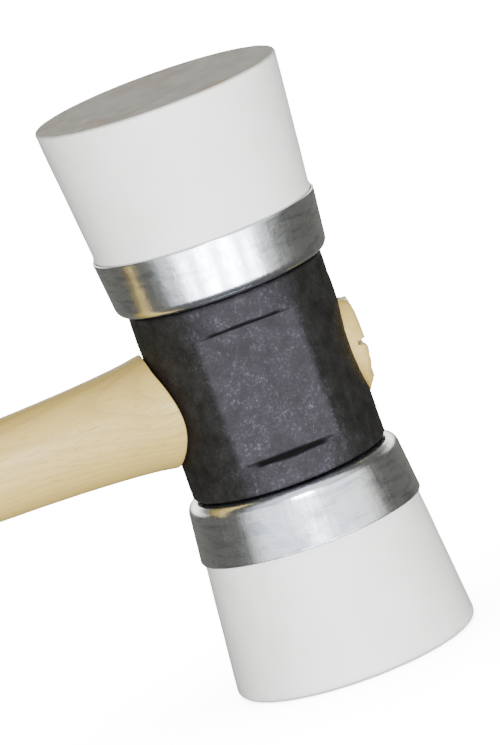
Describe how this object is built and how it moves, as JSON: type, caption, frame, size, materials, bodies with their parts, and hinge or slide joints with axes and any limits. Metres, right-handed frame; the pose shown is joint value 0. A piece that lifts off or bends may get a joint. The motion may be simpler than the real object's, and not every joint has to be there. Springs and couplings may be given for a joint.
{
  "type": "rubber mallet",
  "caption": "Two-faced soft mallet: round iron head, flared rubber faces in metal cups that screw off, and a wedged wooden handle.",
  "frame": {"origin": "centre of the lower striking face", "axes": "+Z along the head from the lower to the upper striking face, -X along the handle towards its butt"},
  "size_m": [0.3375, 0.075, 0.18],
  "materials": {
    "casting": "rough black casting skin",
    "handle_wood": "pale ash, sanded and lightly lacquered",
    "wedge_wood": "plain hardwood",
    "rubber": "matt white moulded rubber",
    "cup_steel": "pressed zinc-bright sheet, satin",
    "fastener_steel": "plain steel"
  },
  "bodies": {
    "head": {"head_casting": "casting", "handle": "handle_wood", "wood_wedge": "wedge_wood", "steel_wedge": "fastener_steel"},
    "lower_washer": {"lower_lock_washer": "fastener_steel"},
    "lower_tip": {"lower_rubber_face": "rubber", "lower_ferrule_cup": "cup_steel", "lower_anchor_plate": "fastener_steel", "lower_tip_bolt": "fastener_steel"},
    "upper_washer": {"upper_lock_washer": "fastener_steel"},
    "upper_tip": {"upper_rubber_face": "rubber", "upper_ferrule_cup": "cup_steel", "upper_anchor_plate": "fastener_steel", "upper_tip_bolt": "fastener_steel"}
  },
  "joints": [
    {"name": "lower_tip_travel", "type": "slide", "parent": "head", "child": "lower_washer", "axis": [0, 0, -1], "range_m": [0, 0.012]},
    {"name": "lower_tip_screw", "type": "hinge", "parent": "lower_washer", "child": "lower_tip", "pos_m": [0, 0, 0.06], "axis": [0, 0, -1], "range_deg": [0, 2160]},
    {"name": "upper_tip_travel", "type": "slide", "parent": "head", "child": "upper_washer", "axis": [0, 0, 1], "range_m": [0, 0.012]},
    {"name": "upper_tip_screw", "type": "hinge", "parent": "upper_washer", "child": "upper_tip", "pos_m": [0, 0, 0.12], "axis": [0, 0, 1], "range_deg": [0, 2160]}
  ],
  "couplings": [
    {"joint": "lower_tip_travel", "follows": "lower_tip_screw", "m_per_rad": 0.0003183},
    {"joint": "upper_tip_travel", "follows": "upper_tip_screw", "m_per_rad": 0.0003183}
  ]
}
